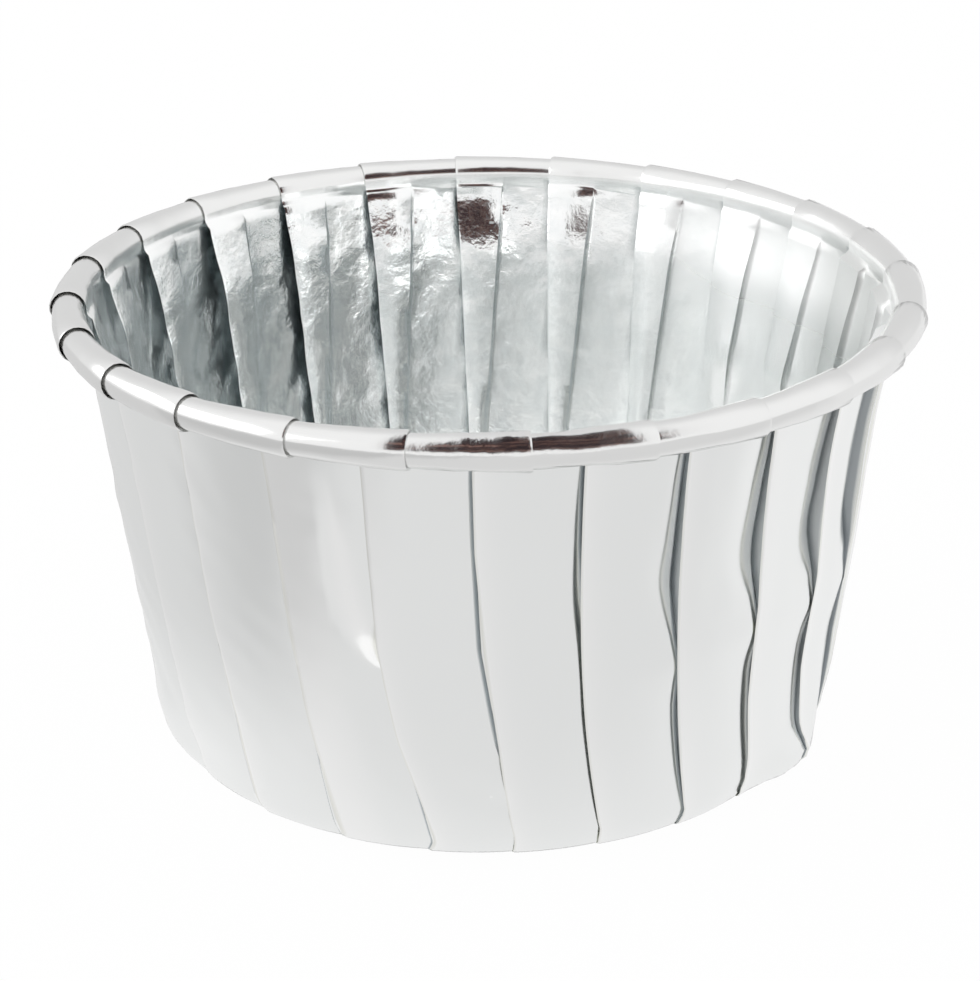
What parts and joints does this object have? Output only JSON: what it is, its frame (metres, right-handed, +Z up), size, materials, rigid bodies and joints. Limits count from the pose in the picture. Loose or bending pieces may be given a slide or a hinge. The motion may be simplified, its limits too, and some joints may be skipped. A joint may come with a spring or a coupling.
{
  "type": "cupcake wrapper",
  "caption": "Self-standing baking cup of foil-laminated paper: flat round base, wall of knife pleats that all lie one way, and an edge rolled outward into a bead.",
  "frame": {"origin": "centre of the base's underside, on the plane the cup stands on", "axes": "+Z up through the middle of the opening; -Y is the front, the side nearest the camera in the picture; +X is to its right"},
  "size_m": [0.0694, 0.0694, 0.0379],
  "materials": {
    "foil_paper": "metallic silver foil face, paper core"
  },
  "bodies": {
    "root": {"wrapper": "foil_paper"}
  },
  "joints": []
}
